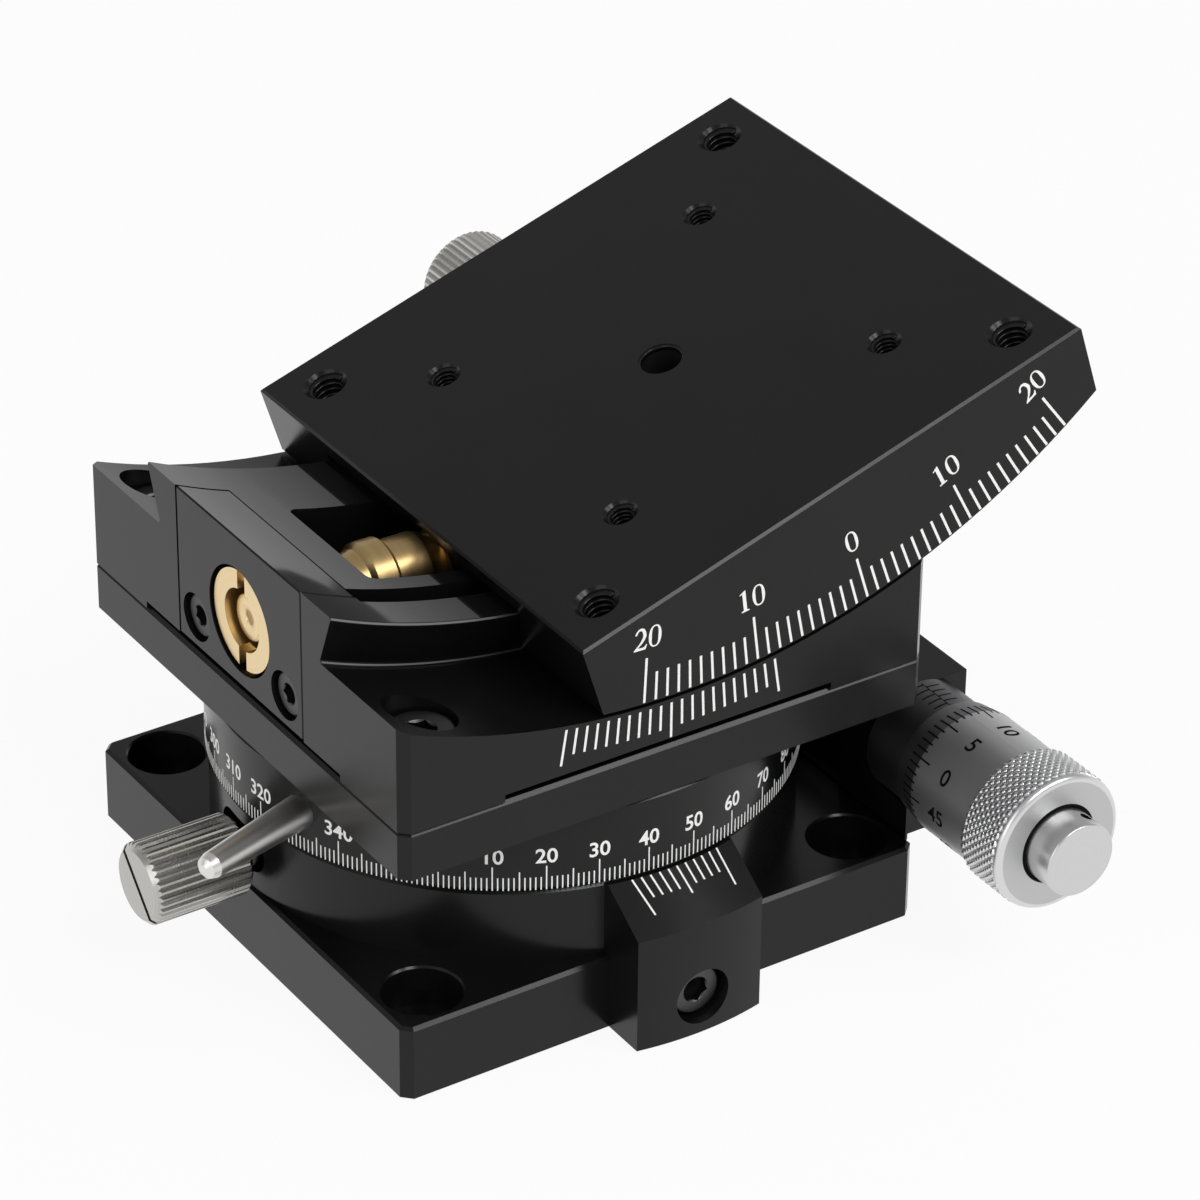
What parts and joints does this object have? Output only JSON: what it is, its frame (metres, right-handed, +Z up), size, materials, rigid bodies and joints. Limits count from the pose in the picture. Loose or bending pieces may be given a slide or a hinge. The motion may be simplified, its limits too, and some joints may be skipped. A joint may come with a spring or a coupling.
{
  "type": "goniometer stage",
  "caption": "Manual goniometer stage on a rotary table: worm-driven arc dovetail tilt, micrometer fine turn, degree scales and lock screws.",
  "frame": {"origin": "centre of the four base bolt holes, in the plane of the base's underside", "axes": "+Z up, +X towards the worm knob and the micrometer bracket, +Y away from the micrometer's thimble end and towards the tilt clamp screw"},
  "size_m": [0.0916, 0.0926, 0.0621],
  "materials": {
    "black_anodised": "black satin anodised",
    "stainless": "turned stainless steel",
    "steel": "plain ground steel",
    "black_steel": "black oxide steel",
    "satin_chrome": "satin chrome",
    "brass": "turned brass",
    "spring_steel": "drawn spring wire"
  },
  "bodies": {
    "base": {"base_housing": "black_anodised", "bearing_inner_race": "steel", "vernier_block": "black_anodised", "vernier_screw": "black_steel", "micrometer_bracket": "black_anodised", "bracket_screws": "black_steel", "micrometer_barrel": "satin_chrome", "stem_screw": "black_steel", "plunger_barrel": "steel", "plunger_spring": "spring_steel"},
    "clamp": {"clamp_ring": "black_anodised", "clamp_shoe": "brass"},
    "lock": {"lock_screw": "stainless"},
    "spindle": {"micrometer_spindle": "steel"},
    "thimble": {"micrometer_thimble": "satin_chrome", "thimble_knurl": "satin_chrome", "thimble_end_knob": "stainless"},
    "plunger": {"plunger_pin": "steel"},
    "table": {"scale_ring": "black_anodised", "bearing_outer_race": "steel", "bearing_balls": "steel", "table_lever": "stainless", "top_plate": "black_anodised", "plate_screws": "black_steel", "tilt_body": "black_anodised", "tilt_body_screws": "black_steel", "front_cover": "black_anodised", "front_cover_screws": "black_steel", "rear_cover": "black_anodised", "rear_cover_screws": "black_steel", "worm_ring_nut": "brass", "front_bush": "brass", "rear_bush": "brass", "front_thrust_washer": "steel", "rear_thrust_washer": "steel"},
    "worm": {"worm_shaft": "brass", "worm_knob": "stainless", "worm_knob_set_screw": "black_steel"},
    "stage": {"tilt_stage": "black_anodised", "toothed_sector": "steel", "sector_screws": "black_steel", "stage_clamp_shoe": "brass"},
    "tilt_clamp": {"tilt_clamp_screw": "stainless"}
  },
  "joints": [
    {"name": "fine_turn", "type": "hinge", "parent": "base", "child": "clamp", "pos_m": [0, 0, 0.012], "axis": [0, 0, 1], "range_deg": [-7, 1]},
    {"name": "table_lock_turn", "type": "hinge", "parent": "clamp", "child": "lock", "pos_m": [-0.036, 0, 0.0123], "axis": [1, 0, 0], "range_deg": [-20, 340]},
    {"name": "table_turn", "type": "hinge", "parent": "clamp", "child": "table", "pos_m": [0, 0, 0.02], "axis": [0, 0, 1], "range_deg": [-145, 95]},
    {"name": "spindle_travel", "type": "slide", "parent": "base", "child": "spindle", "axis": [0, 1, 0], "range_m": [-0.0042, 0.0006]},
    {"name": "micrometer_turn", "type": "hinge", "parent": "spindle", "child": "thimble", "pos_m": [0.0344, -0.04, 0.0164], "axis": [0, 1, 0], "range_deg": [-3025, 433]},
    {"name": "plunger_travel", "type": "slide", "parent": "base", "child": "plunger", "axis": [0, 1, 0], "range_m": [-0.00422, 0.00062]},
    {"name": "worm_turn", "type": "hinge", "parent": "table", "child": "worm", "pos_m": [0, 0, 0.0385], "axis": [1, 0, 0], "range_deg": [-430.2, 6766.2]},
    {"name": "tilt", "type": "hinge", "parent": "table", "child": "stage", "pos_m": [0, 0, 0.1112], "axis": [0, -1, 0], "range_deg": [-37.6, 2.4]},
    {"name": "tilt_lock_turn", "type": "hinge", "parent": "stage", "child": "tilt_clamp", "pos_m": [0.02177, 0.036, 0.04257], "axis": [0, -1, 0], "range_deg": [-20, 340]}
  ],
  "couplings": [
    {"joint": "micrometer_turn", "follows": "spindle_travel", "rad_per_m": 12566},
    {"joint": "plunger_travel", "follows": "spindle_travel", "ratio": 1},
    {"joint": "fine_turn", "follows": "spindle_travel", "rad_per_m": 29.07},
    {"joint": "tilt", "follows": "worm_turn", "ratio": -0.0055556}
  ]
}
